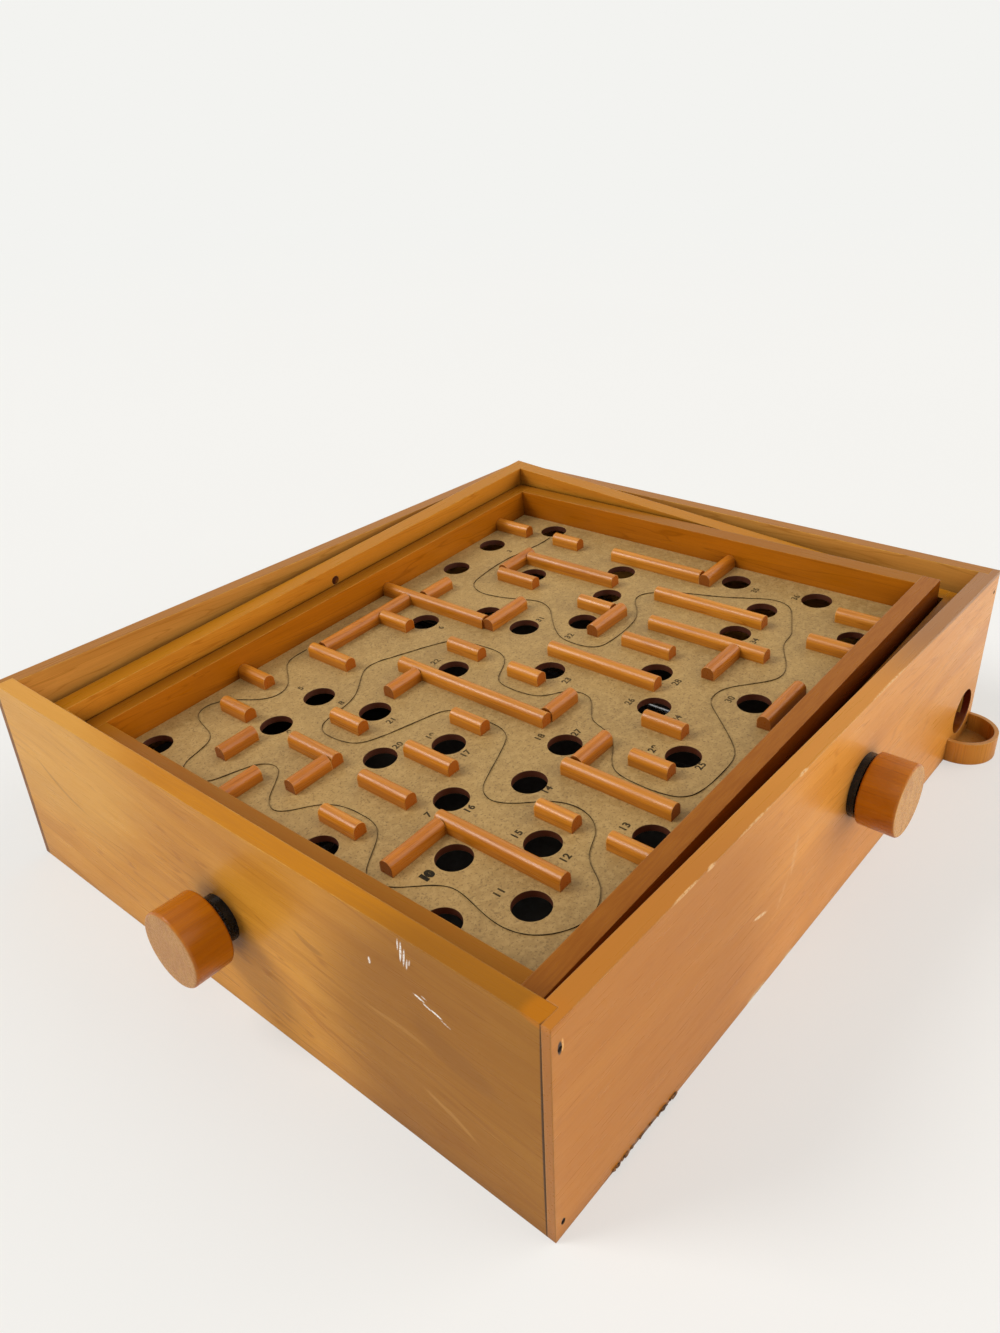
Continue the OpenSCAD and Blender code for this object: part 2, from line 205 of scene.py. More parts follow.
def patch(tree, where, centre, half, turn=(0, 0, 0), strength=1.0):
    """The given strength inside a soft ellipsoid about a centre, and 0 outside."""
    placed = add(tree, "ShaderNodeMapping", {
        "Vector": where, "Location": Vector(centre) * MM, "Rotation": turn, "Scale": Vector(half) * MM,
    }, vector_type="TEXTURE")
    reach = add(tree, "ShaderNodeVectorMath", {0: placed}, operation="LENGTH")
    return add(tree, "ShaderNodeMapRange", {"Value": reach} | ranges((1.0, 0.6), (0.0, strength)), **SOFT)


def squareness(tree, normal, axis):
    """1 where a surface lies square to an axis, on either side, and 0 where it runs along it."""
    turned = add(tree, "ShaderNodeVectorMath", {0: normal, 1: AXES[axis]}, operation="DOT_PRODUCT")
    return add(tree, "ShaderNodeMath", {0: turned}, operation="ABSOLUTE")


def rounded_edges(tree, radius, strength=1.0):
    """The normal of a slightly rounded edge, and how much the surface is edge there."""
    soft = add(tree, "ShaderNodeBevel", {"Radius": radius * MM}, samples=6)
    flat = add(tree, "ShaderNodeNewGeometry").outputs["Normal"]
    alike = add(tree, "ShaderNodeVectorMath", {0: soft, 1: flat}, operation="DOT_PRODUCT")
    edge = {"Value": alike} | ranges((0.995, 0.8), (0.0, strength))
    return soft, add(tree, "ShaderNodeMapRange", edge, **SOFT)


def tinted(tree, colour, tone, pattern, over, cover=(0.0, 1.0)):
    """A colour taken towards a tone as a pattern's value goes over a range. Cover gives the
    tone's share at the two ends of that range."""
    share = add(tree, "ShaderNodeMapRange", {"Value": pattern} | ranges(over, cover), **SOFT)
    return add(tree, "ShaderNodeMix", {"Factor": share, "A": colour, "B": tone}, **COLOURS)


def masked(tree, colour, tone, mask, second_mask=1.0):
    """A colour taken towards a tone by the product of two masks."""
    share = add(tree, "ShaderNodeMath", {0: mask, 1: second_mask}, operation="MULTIPLY")
    return add(tree, "ShaderNodeMix", {"Factor": share, "A": colour, "B": tone}, **COLOURS)


def dabbed(tree, where, colour, marks, about="x", grit=1.0):
    """A colour with marks on it. Each row has a mark's centre, its half sizes, its turn about
    the panel's own axis in radians, its tone and its strength. Grit breaks the marks up."""
    for centre, half, turn, tone, strength in marks:
        mark = patch(tree, where, centre, half, Vector(AXES[about]) * turn, strength)
        colour = masked(tree, colour, tone, mark, grit)
    return colour


def surfaced(tree, shader, colour, pattern, rough, relief=None, normal=None):
    """Gives a shader its colour, and a roughness that a pattern spreads between two values.
    Relief is a pattern with its strength and depth, on the given normal if there is one."""
    spread = add(tree, "ShaderNodeMapRange", {"Value": pattern} | ranges(NOISE_SPAN, rough), **SOFT)
    feed(tree, shader, {"Base Color": colour, "Roughness": spread})
    if relief:
        height, strength, depth = relief
        bump = add(tree, "ShaderNodeBump", {"Strength": strength, "Distance": depth * MM, "Height": height})
        if normal:
            feed(tree, bump, {"Normal": normal})
        feed(tree, shader, {"Normal": bump})


# Materials
LAYERS = 8


def flowing_grain(tree, where, tones, along, shift, lean, figure):
    """The colour of a planed face, and the fibres in it. Lean is how far the figure falls for
    each length along the panel, and figure its width. A dark line runs wherever the growth
    layers fold over."""
    split = add(tree, "ShaderNodeSeparateXYZ", {0: where}).outputs
    sideways = add(tree, "ShaderNodeMath", {0: split["X"], 1: split["Y"]})
    rise = add(tree, "ShaderNodeMath", {0: sideways, 1: -lean}, operation="MULTIPLY")
    figured = noise(tree, lifted(tree, where, rise), across(along, 190, figure), 3, 0.5, 0.9, shift)
    layers = add(tree, "ShaderNodeMath", {0: figured, 1: LAYERS}, operation="MULTIPLY")
    lines = add(tree, "ShaderNodeMath", {0: layers, 1: 0.5}, operation="PINGPONG")
    clouds = noise(tree, where, across(along, 110, 34), 2, shift=shift)
    fibres = noise(tree, where, across(along, 26, 0.9), 3, 0.6, shift=shift)
    pores = noise(tree, where, across(along, 5, 0.45), 1, shift=shift)

    dark = tones["dark"]
    colour = tinted(tree, tones["pale"], dark, figured, (0.3, 0.72), (0.05, 0.52))
    colour = tinted(tree, colour, dark, lines, (0.0, 0.11), (0.62, 0.0))
    colour = tinted(tree, colour, dark, clouds, (0.35, 0.7), (0.05, 0.32))
    colour = tinted(tree, colour, dark, fibres, (0.35, 0.65), (0.0, 0.24))
    return tinted(tree, colour, tones["end"], pores, (0.62, 0.74), (0.0, 0.1)), fibres


def lacquered_wood(
    name, tones, along, seed,
    lean=0.0, figure=13, rough=0.3, coat=0.06, shine=0.24, recess_shade=0.55, marks=None,
):
    """Fine-grained hardwood under satin lacquer. The eye sees long flowing figure, short dark
    pores, darker end grain, and edges made lighter, partly where handling has thinned the stain
    and partly as a painted highlight. Painted shade darkens the recesses and the gaps between
    parts. Marks is a function that adds a piece's own marks."""
    material, tree, shader, place = new_material(name)
    where = place["Object"]
    dark = tones["dark"]
    shift = Vector((3.1, 1.7, 2.3)) * seed
    colour, fibres = flowing_grain(tree, where, tones, along, shift, lean, figure)

    # End grain, and a darker, more orange tone on faces that look up
    rings = noise(tree, where, (3.4, 3.4, 11), 2, 0.45, 0.8)
    end_grain = tinted(tree, tones["end"], dark, rings, (0.38, 0.68), (0.0, 0.34))
    colour = tinted(tree, colour, end_grain, squareness(tree, place["Normal"], along), (0.75, 0.92))
    if "top" in tones:
        facing = add(tree, "ShaderNodeSeparateXYZ", {0: place["Normal"]}).outputs["Z"]
        amber = tinted(tree, tones["top"], dark, fibres, (0.35, 0.65), (0.0, 0.35))
        colour = tinted(tree, colour, amber, facing, (0.85, 0.95))

    # Worn edges, lighter for wear and as a painted highlight, the piece's own marks, and painted shade in
    # the recesses
    soft, edge = rounded_edges(tree, 0.7)
    patchy = noise(tree, where, 6, 3, 0.6)
    wear_and_highlight = add(tree, "ShaderNodeMapRange", {"Value": patchy} | ranges((0.35, 0.6), (0.15, 0.8)), **SOFT)
    colour = masked(tree, colour, tones["worn"], edge, wear_and_highlight)
    if marks:
        colour = marks(tree, place, colour)
    # Painted shade: where little open sky reaches, in recesses and between parts, the colour is taken
    # towards a dark brown
    open_sky = add(tree, "ShaderNodeAmbientOcclusion", {"Distance": 16 * MM}, samples=8).outputs["AO"]
    colour = tinted(tree, colour, "#3a1404", open_sky, (0.75, 0.1), (0.0, recess_shade))

    surfaced(tree, shader, colour, fibres, (rough - 0.04, rough + 0.1), (fibres, 0.15, 0.06), soft)
    feed(tree, shader, {"Specular IOR Level": shine, "Coat Weight": coat, "Coat Roughness": 0.2})
    return material


# Lacquer that runs over the joint between the front and left panels at their top
CORNER = [((LEFT_X + 3, FRONT_Y + 3, TOP_Z + 0.5), (9, 9, 3), 0.0, "#b46c06", 0.85)]

# The front panel: painted shade towards its left end, a darker top edge, its scrape, streaks and
# chips, and the scars of its two brads
FRONT_SHADES = [
    # Painted shade towards the panel's left end by the corner
    ((LEFT_X, FRONT_Y, 40), (150, 20, 130), 0.0, "#a8640c", 0.64),
    ((-LEFT_X, FRONT_Y + PANEL_T / 2, TOP_Z + 1), (140, 14, 4), 0.0, "#8a5824", 0.8),
]
FRONT_MARKS = [
    ((-52, FRONT_Y, 39), (6.5, 3, 0.9), 0.28, "#f0cf9f", 0.8),
    ((-160.4, FRONT_Y, 76.5), (0.6, 3, 2.8), 0.0, "#efb468", 0.9),
    ((-29.5, FRONT_Y, 51), (1.6, 3, 11), 0.12, "#f0c48c", 0.3),
    ((-36, FRONT_Y, 38), (1.4, 3, 9), 0.5, "#f0c48c", 0.25),
    ((-103, FRONT_Y, TOP_Z - 0.2), (9, 0.7, 0.6), 0.0, "#f2c88e", 0.6),
    ((-89, FRONT_Y, TOP_Z - 0.5), (3, 0.9, 0.9), 0.0, "#f2c88e", 0.7),
    ((-62, FRONT_Y, TOP_Z - 0.2), (14, 0.6, 0.5), 0.0, "#f2c88e", 0.5),
    ((-30, FRONT_Y, TOP_Z - 0.5), (4, 0.9, 0.9), 0.0, "#f2c88e", 0.7),
    ((40, FRONT_Y, TOP_Z - 0.2), (20, 0.7, 0.6), 0.0, "#f2c88e", 0.5),
    ((-122, FRONT_Y, 0), (24, 3, 2.2), 0.0, "#4a2f16", 0.9),
    ((-48, FRONT_Y, 0), (9, 3, 2.0), 0.0, "#ecd2a6", 0.8),
    ((-25, FRONT_Y, 0), (5, 3, 1.6), 0.0, "#ecd2a6", 0.7),
]
BRAD_X = LEFT_X + PANEL_T / 2
BRAD_SCARS = [
    ((BRAD_X, FRONT_Y, 76.3), (1.1, 3, 2.8), 0.0, "#2a1406", 1.0),
    ((BRAD_X, FRONT_Y, 6), (1.1, 3, 1.6), 0.0, "#2a1406", 1.0),
]
EXIT_HOLE = (149, FRONT_Y + 4, 22)
EXIT_HOLE_REACH = 20


def front_marks(tree, place, colour):
    """The front panel's own marks, with painted shade towards its left end, and the bored wall of
    its exit hole, dark as raw end grain and with painted shade inside the hole.
    """
    where = place["Object"]
    colour = dabbed(tree, where, colour, FRONT_SHADES + CORNER, "y")
    # The exit hole's bored wall is taken to a dark red-brown: partly raw end grain, partly painted shade
    # inside the hole
    hole = patch(tree, where, EXIT_HOLE, (EXIT_HOLE_REACH,) * 3)
    facing = squareness(tree, place["Normal"], "y")
    wall = add(tree, "ShaderNodeMapRange", {"Value": facing} | ranges((0.7, 0.3)), **SOFT)
    colour = masked(tree, colour, "#621a00", hole, wall)
    speckle = noise(tree, where, (1.2, 1.2, 0.8), 3, 0.6)
    grit = add(tree, "ShaderNodeMapRange", {"Value": speckle} | ranges((0.35, 0.55)), **SOFT)
    colour = dabbed(tree, where, colour, FRONT_MARKS, "y", grit)
    return dabbed(tree, where, colour, BRAD_SCARS, "y")


# The left panel: painted shade towards the front corner, painted light at the far end, streaks
# in the wood, scuffs of white paint, and its dark seam with the front panel
LEFT_LIGHT_SHADE_AND_STREAKS = [
    # Painted shade towards the front corner
    ((LEFT_X, -136, 34), (20, 105, 92), 0.0, "#82500c", 0.7),
    # Painted light at the far end
    ((LEFT_X, 150, 70), (20, 130, 50), 0.0, "#e6b052", 0.4),
    ((LEFT_X, -106, 47), (5, 20, 9), 0.3, "#7a4a1a", 0.25),
    ((LEFT_X, -46, 58.5), (5, 8, 1.8), 0.25, "#7a4a1a", 0.35),
    ((LEFT_X, 104, 52), (5, 21, 0.9), 0.16, "#7a4a1a", 0.35),
    ((LEFT_X, -103, 19), (5, 13, 1.2), 0.3, "#dca85e", 0.2),
    ((LEFT_X, -84, 43), (5, 17, 1.1), 0.12, "#dca85e", 0.15),
]
SHADE_WANDER = 5 * MM
PAINT = "#f4efe8"
LEFT_SCUFFS = [
    ((LEFT_X, -88.2, 82), (3, 0.4, 2.6), 0.1, PAINT, 0.8),
    ((LEFT_X, -89.1, 79.8), (3, 0.5, 4.6), 0.12, PAINT, 0.95),
    ((LEFT_X, -90.2, 78.2), (3, 0.45, 4.0), 0.14, PAINT, 0.85),
    ((LEFT_X, -91.1, 76.2), (3, 0.4, 2.6), 0.15, PAINT, 0.7),
    ((LEFT_X, -92.2, 77.4), (3, 0.35, 1.6), 0.2, PAINT, 0.5),
    ((LEFT_X, -75, 68), (3, 0.6, 1.6), 0.0, PAINT, 0.9),
    ((LEFT_X, -94.6, 65.8), (3, 2.6, 0.5), 0.2, PAINT, 0.95),
    ((LEFT_X, -97.6, 64.2), (3, 2.0, 0.45), 0.3, PAINT, 0.8),
    ((LEFT_X, -101.0, 63.6), (3, 2.6, 0.5), 0.25, PAINT, 0.95),
    ((LEFT_X, -104.4, 62.0), (3, 2.4, 0.35), 0.3, PAINT, 0.5),
    ((LEFT_X, -96.6, 67.0), (3, 1.4, 0.35), 0.2, PAINT, 0.5),
]
SEAM = [((LEFT_X, FRONT_Y + 3, 42), (4, 1.0, 60), 0.0, "#3a2411", 0.9)]


def left_marks(tree, place, colour):
    """The left panel's own marks, with painted shade towards the front corner and painted light at
    the far end. Its shades wander with the grain, so their outlines are soft.
    """
    where = place["Object"]
    drift = noise(tree, where, 55, 1)
    rise = {"Value": drift} | ranges(NOISE_SPAN, (-SHADE_WANDER, SHADE_WANDER))
    wandering = lifted(tree, where, add(tree, "ShaderNodeMapRange", rise, **SOFT))
    colour = dabbed(tree, wandering, colour, LEFT_LIGHT_SHADE_AND_STREAKS)
    colour = dabbed(tree, where, colour, CORNER)
    speckle = noise(tree, where, 0.6, 2, 0.6)
    grit = add(tree, "ShaderNodeMapRange", {"Value": speckle} | ranges((0.36, 0.5), (0.2, 1.0)), **SOFT)
    colour = dabbed(tree, where, colour, LEFT_SCUFFS, grit=grit)
    return dabbed(tree, where, colour, SEAM)


def pressed_hardboard(name, face, speck, pale, cut):
    """Pressed wood fibre with one smooth face. The eye sees a speckled tan surface, duller
    stains from handling, and darker fuzzy walls where it is drilled or sawn."""
    material, tree, shader, place = new_material(name)
    where = place["Object"]
    fine = noise(tree, where, 0.9, 2, 0.6)
    grain = noise(tree, where, 2.6, 3, 0.6, 0.4)
    stains = noise(tree, where, 34)
    colour = tinted(tree, face, speck, stains, NOISE_SPAN, (0.0, 0.3))
    colour = tinted(tree, colour, pale, grain, (0.4, 0.65), (0.0, 0.35))
    colour = tinted(tree, colour, speck, fine, (0.52, 0.7), (0.0, 0.55))
    colour = tinted(tree, colour, cut, squareness(tree, place["Normal"], "z"), (0.8, 0.5))
    soft, edge = rounded_edges(tree, 0.5, 0.4)
    colour = masked(tree, colour, pale, edge)
    surfaced(tree, shader, colour, grain, (0.55, 0.72), (fine, 0.3, 0.1), soft)
    return material


def bright_steel(name, tone, rough):
    """Drawn steel wire and rod. The eye sees a grey metal with fine draw marks and dull spots."""
    material, tree, shader, place = new_material(name)
    drawn = noise(tree, place["Object"], 0.5, 3, 0.6)
    spots = noise(tree, place["Object"], 4, 3, 0.6)
    colour = tinted(tree, tone, "#6d5a48", spots, (0.5, 0.75), (0.0, 0.5))
    surfaced(tree, shader, colour, drawn, (rough - 0.06, rough + 0.12))
    feed(tree, shader, {"Metallic": 1.0})
    return material


def moulded_rubber(name):
    """Moulded black rubber. The eye sees a black ring with a soft shine and a slight bloom."""
    material, tree, shader, place = new_material(name)
    bloom = noise(tree, place["Object"], 1.2, 3, 0.6)
    surfaced(tree, shader, tinted(tree, "#050505", "#100f0e", bloom, (0.5, 0.75)), bloom, (0.2, 0.3))
    feed(tree, shader, {"Specular IOR Level": 0.3})
    return material


def waxed_cord(name):
    """Waxed black twine. The eye sees a dull dark cord with paler worn fibres."""
    material, tree, shader, place = new_material(name)
    worn = noise(tree, place["Object"], 0.8, 3, 0.6)
    colour = tinted(tree, "#26221d", "#5b5042", worn, (0.45, 0.75), (0.0, 0.7))
    surfaced(tree, shader, colour, worn, (0.55, 0.8), (worn, 0.4, 0.1))
    return material


def screen_ink(name, ink, board, cover):
    """Screen-printed ink on hardboard. The eye sees thin dark strokes, rubbed through to the
    board in places, and least near the front left corner."""
    material, tree, shader, place = new_material(name)
    rubbed = noise(tree, place["Object"], 1.6, 4, 0.7)
    fresh = patch(tree, place["Object"], (-130, -100, 56), (170, 130, 90))
    worn = {"Value": rubbed} | ranges((0.4, 0.75), (1 - cover, 0.75))
    kept = {"Value": fresh} | ranges((0.0, 1.0), (1.0, 0.4))
    thin = add(tree, "ShaderNodeMapRange", worn, **SOFT)
    spared = add(tree, "ShaderNodeMapRange", kept, **SOFT)
    surfaced(tree, shader, masked(tree, ink, board, thin, spared), rubbed, (0.5, 0.65))
    feed(tree, shader, {"Specular IOR Level": 0.12})
    return material


def torn_wood(name):
    """Raw hardwood torn along its fibres. The eye sees dull brown shreds without lacquer."""
    material, tree, shader, place = new_material(name)
    torn = noise(tree, place["Object"], 1.5, 3, 0.6)
    colour = tinted(tree, "#3f2812", "#8a5e33", torn, (0.4, 0.6))
    feed(tree, shader, {"Base Color": colour, "Roughness": 0.8})
    return material


# Tones of the woods: face, figure, end grain, worn edge, which also serves as a painted highlight along the
# edges, and the tone of faces that look up where one shows
BOX = {"pale": "#dc9c38", "dark": "#a8681a", "end": "#7a4810", "worn": "#dba648", "top": "#bd7806"}
BOX_FRONT = BOX | {"pale": "#eaa246", "dark": "#c67c2a", "end": "#945c10"}
BOX_DULL = BOX | {"pale": "#dea04c", "dark": "#ae722a", "top": "#9c6212"}
GOLDEN = {"pale": "#e29c34", "dark": "#ba7018", "end": "#6b3a10", "worn": "#dca24a", "top": "#b07414"}
DOWEL = GOLDEN | {"end": "#3c1606"}
AMBER = {"pale": "#c67614", "dark": "#965404", "end": "#6b3208", "worn": "#c98a34", "top": "#986012"}
# A darker, redder copy of the frame's wood for its front rail: painted shade for that rail, which sits in
# the dark gap by the box's front
SHADED_AMBER = {"pale": "#a85e12", "dark": "#7a3a02", "end": "#5c2404", "worn": "#b87834", "top": "#9a5c14"}
STRIP_ALONG = {"pale": "#d88e28", "dark": "#9e580a", "end": "#aa5806", "worn": "#ecb464"}
STRIP_ACROSS = {"pale": "#cc7c20", "dark": "#94500a", "end": "#8c4c0e", "worn": "#e8ac60"}
KNOB = {"pale": "#c87604", "dark": "#924a00", "end": "#b4803e", "worn": "#d8a058"}
KNOB_FRONT = KNOB | {"end": "#d09a54"}
CUP = {"pale": "#e69e3c", "dark": "#b8701a", "end": "#c08a44", "worn": "#e6b468"}

# Finishes: the panels' satin, glossy strips, turned knobs, and the duller rails with stronger painted shade
# between them
FRONT_FINISH = {"shine": 0.34, "marks": front_marks}
LEFT_FINISH = {"lean": 0.1, "shine": 0.13, "coat": 0.03, "marks": left_marks}
FAR_FINISH = {"shine": 0.12}
STRIP_FINISH = {"figure": 4, "shine": 0.34, "coat": 0.05}
CUP_FINISH = {"figure": 6}
KNOB_FINISH = {"figure": 5, "rough": 0.24, "shine": 0.2}
RING_FINISH = {"shine": 0.14, "coat": 0.02, "recess_shade": 0.9}
FRAME_FINISH = {"shine": 0.12, "coat": 0.02, "recess_shade": 0.9}
FRAME_FRONT_FINISH = {"shine": 0.14, "coat": 0.02, "recess_shade": 1.0}

# Each wood: its name, its nodes, its tones, the axis of its grain, its seed and its finish
WOODS = [
    ("front_panel_wood", ["front_panel"], BOX_FRONT, "x", 1, FRONT_FINISH),
    ("back_panel_wood", ["back_panel"], BOX_DULL, "x", 2, FAR_FINISH),
    ("left_panel_wood", ["left_panel"], BOX, "y", 3, LEFT_FINISH),
    ("right_panel_wood", ["right_panel"], BOX_DULL, "y", 4, FAR_FINISH),
    ("ring_across_wood", ["ring_front_rail", "ring_back_rail", "ramp_cleats"], GOLDEN, "x", 5, RING_FINISH),
    ("ring_along_wood", ["ring_left_rail", "ring_right_rail"], GOLDEN, "y", 6, RING_FINISH),
    ("strips_along_wood", ["maze_strips_along"], STRIP_ALONG, "y", 7, STRIP_FINISH),
    ("strips_across_wood", ["maze_strips_across"], STRIP_ACROSS, "x", 8, STRIP_FINISH),
    ("cup_wood", ["catch_cup"], CUP, "z", 9, CUP_FINISH),
    ("left_knob_wood", ["left_knob"], KNOB, "x", 10, KNOB_FINISH),
    ("front_knob_wood", ["front_knob"], KNOB_FRONT, "y", 11, KNOB_FINISH),
    ("frame_across_wood", ["frame_back_rail", "frame_pivot_pins"], AMBER, "x", 12, FRAME_FINISH),
    ("frame_along_wood", ["frame_left_rail", "frame_right_rail"], AMBER, "y", 13, FRAME_FINISH),
    ("frame_front_wood", ["frame_front_rail"], SHADED_AMBER, "x", 14, FRAME_FRONT_FINISH),
    ("dowel_wood", ["ring_pivot_pins"], DOWEL, "y", 15, {}),
]


def finish_nodes():
    """Gives every CAD node its material. Steel is for the nodes that have no other."""
    rubber = moulded_rubber("washer_rubber")
    steel = bright_steel("shaft_steel", "#b4b6b8", 0.3)
    finishes = {
        "maze_board": pressed_hardboard("maze_hardboard", "#a4834a", "#5c421c", "#c2a268", "#4c1e02"),
        "base_board": pressed_hardboard("underside_hardboard", "#8f7244", "#6b5230", "#a68857", "#5a3517"),
        # The ramp inside the box is near black: dark hardboard, and painted shade for the dark inside seen
        # through the holes
        "ball_ramp": pressed_hardboard("inside_hardboard", "#1e160c", "#140e06", "#2a2012", "#160c04"),
        "box_brads": bright_steel("brad_steel", "#160c06", 0.7),
        "left_washer": rubber,
        "front_washer": rubber,
    }
    for title, names, tones, along, seed, finish in WOODS:
        wood = lacquered_wood(title, tones, along, seed, **finish)
        finishes |= {name: wood for name in names}
    for name, node in NODES.items():
        node.data.materials.clear()
        node.data.materials.append(finishes.get(name, steel))


# Geometry Nodes helpers
def node_group(name, inputs):
    """A geometry node tree with named inputs, each with its name, socket type and value."""
    tree = bpy.data.node_groups.new(name, "GeometryNodeTree")
    tree.interface.new_socket("Geometry", in_out="INPUT", socket_type="NodeSocketGeometry")
    for title, kind, value in inputs:
        made = tree.interface.new_socket(title, in_out="INPUT", socket_type=kind)
        if value is not None:
            made.default_value = value
    tree.interface.new_socket("Geometry", in_out="OUTPUT", socket_type="NodeSocketGeometry")
    return tree, add(tree, "NodeGroupInput").outputs, add(tree, "NodeGroupOutput")


def coated(tree, end, shape, material):
    """Ends a node tree with real copies in place of instances, and their material."""
    whole = add(tree, "GeometryNodeRealizeInstances", {0: shape})
    feed(tree, end, {0: add(tree, "GeometryNodeSetMaterial", {0: whole, "Material": material})})


def taken(holder):
    """The finished mesh of a curve, text or grown object, which is then removed."""
    ready = holder.evaluated_get(bpy.context.evaluated_depsgraph_get())
    mesh = bpy.data.meshes.new_from_object(ready)
    bpy.data.objects.remove(holder)
    return mesh


def grown(tree, base, values):
    """The mesh that a node tree makes on a base mesh or curve, with the given input values."""
    holder = bpy.data.objects.new("holder", base)
    bpy.context.collection.objects.link(holder)
    modifier = holder.modifiers.new("grow", "NODES")
    modifier.node_group = tree
    sockets = {s.name: s.identifier for s in tree.interface.items_tree if s.in_out == "INPUT"}
    for name, value in values.items():
        modifier[sockets[name]] = value
    return taken(holder)


def coil_tree():
    """Strands wound round the Z axis: one strand makes a spring or a winding, three make twine."""
    tree, given, end = node_group("coil", [
        ("Strands", "NodeSocketInt", 1),
        ("Turns", "NodeSocketFloat", 3.0),
        ("Coil radius", "NodeSocketFloat", 0.002),
        ("Length", "NodeSocketFloat", 0.01),
        ("Wire radius", "NodeSocketFloat", 0.0005),
        ("Steps a turn", "NodeSocketInt", 20),
        ("Material", "NodeSocketMaterial", None),
    ])
    spiral = add(tree, "GeometryNodeCurveSpiral", {
        "Resolution": given["Steps a turn"], "Rotations": given["Turns"], "Height": given["Length"],
        "Start Radius": given["Coil radius"], "End Radius": given["Coil radius"],
    })
    ring = add(tree, "GeometryNodeCurvePrimitiveCircle", {"Resolution": 8, "Radius": given["Wire radius"]})
    wire = add(tree, "GeometryNodeCurveToMesh", {0: spiral, "Profile Curve": ring, "Fill Caps": True})
    seats = add(tree, "GeometryNodePoints", {"Count": given["Strands"]})
    index = add(tree, "GeometryNodeInputIndex")
    share = add(tree, "ShaderNodeMath", {0: index, 1: given["Strands"]}, operation="DIVIDE")
    angle = add(tree, "ShaderNodeMath", {0: share, 1: math.tau}, operation="MULTIPLY")
    turn = add(tree, "ShaderNodeCombineXYZ", {"Z": angle})
    strands = add(tree, "GeometryNodeInstanceOnPoints", {
        "Points": seats, "Instance": wire, "Rotation": turn,
    })
    coated(tree, end, strands, given["Material"])
    return tree


def ribbon_tree():
    """A flat printed stroke that follows a curve lying on the board, a little uneven in width."""
    tree, given, end = node_group("ribbon", [
        ("Width", "NodeSocketFloat", 0.001),
        ("Film", "NodeSocketFloat", 0.0001),
        ("Step", "NodeSocketFloat", 0.002),
        ("Material", "NodeSocketMaterial", None),
    ])
    level = add(tree, "GeometryNodeSetCurveNormal", {0: given["Geometry"]}, mode="Z_UP")
    even = add(tree, "GeometryNodeResampleCurve", {0: level, "Length": given["Step"]}, mode="LENGTH")
    stroke = add(tree, "GeometryNodeCurvePrimitiveQuadrilateral", {
        "Width": given["Film"], "Height": given["Width"],
    })
    wander = add(tree, "ShaderNodeTexNoise", {"Scale": 180.0, "Detail": 2.0}, noise_dimensions="3D")
    uneven = add(tree, "ShaderNodeMapRange", {"Value": wander} | ranges(NOISE_SPAN, (0.75, 1.2)), **SOFT)
    swept = add(tree, "GeometryNodeCurveToMesh", {
        0: even, "Profile Curve": stroke, "Scale": uneven, "Fill Caps": True,
    })
    coated(tree, end, swept, given["Material"])
    return tree


def piece(name, meshes, body):
    """One object from several meshes, each with its place. It rides on a body, or on none where
    body is None."""
    joined = bmesh.new()
    materials = []
    for mesh, place in meshes:
        mesh.transform(place)
        first = len(joined.faces)
        joined.from_mesh(mesh)
        for material in mesh.materials:
            if material not in materials:
                materials.append(material)
        joined.faces.ensure_lookup_table()
        slots = [materials.index(m) for m in mesh.materials]
        for face in joined.faces[first:]:
            face.material_index = slots[face.material_index]
            face.smooth = True
    bmesh.ops.recalc_face_normals(joined, faces=joined.faces)
    data = bpy.data.meshes.new(name)
    joined.to_mesh(data)
    joined.free()
    for material in materials:
        data.materials.append(material)
    made = bpy.data.objects.new(name, data)
    bpy.context.collection.objects.link(made)
    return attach(made, body) if body else made


def aimed(start, end):
    """The place of a piece drawn up the Z axis, set at start and pointing at end."""
    return Matrix.Translation(start) @ (end - start).to_track_quat("Z", "Y").to_matrix().to_4x4()


# Cords, springs and windings
def wind(tree, material, turns, radius, length, wire, strands=1, steps=20):
    """The mesh of a coil: its turns, the radius and length of its centre line, and its wire."""
    return grown(tree, bpy.data.meshes.new("seed"), {
        "Strands": strands, "Turns": turns, "Coil radius": radius, "Length": length, "Wire radius": wire,
        "Steps a turn": steps, "Material": material,
    })


def twine(tree, material, start, end):
    """Three-strand twine from a shaft to an eye, with the lashing that ties it off."""
    run = (end - start).length
    way = (end - start).normalized()
    strands = wind(tree, material, run / TWINE_PITCH, STRAND_R, run, STRAND_R, STRANDS, steps=10)
    lashing = wind(tree, material, LASHING_TURNS, LASHING_R, LASHING_L, STRAND_R)
    return [(strands, aimed(start, end)), (lashing, aimed(end - way * LASHING_BACK, end))]


def spring(tree, material, start, end):
    """An open tension spring with a hook loop at each end."""
    way = (end - start).normalized()
    coil_l = (end - start).length - 2 * HOOK_L
    coil = wind(tree, material, SPRING_TURNS, SPRING_R - SPRING_WIRE_R, coil_l, SPRING_WIRE_R)
    parts = [(coil, aimed(start + way * HOOK_L, end))]
    for foot, side in ((start + way * HOOK_L, -1), (end - way * HOOK_L, 1)):
        loop = wind(tree, material, HOOK_TURNS, HOOK_R, 0.0, SPRING_WIRE_R)
        out = Matrix.Translation((0, 0, side * HOOK_OUT))
        upright = Matrix.Rotation(math.pi / 2, 4, "X")
        parts.append((loop, aimed(foot, foot + way) @ out @ upright))
    return parts


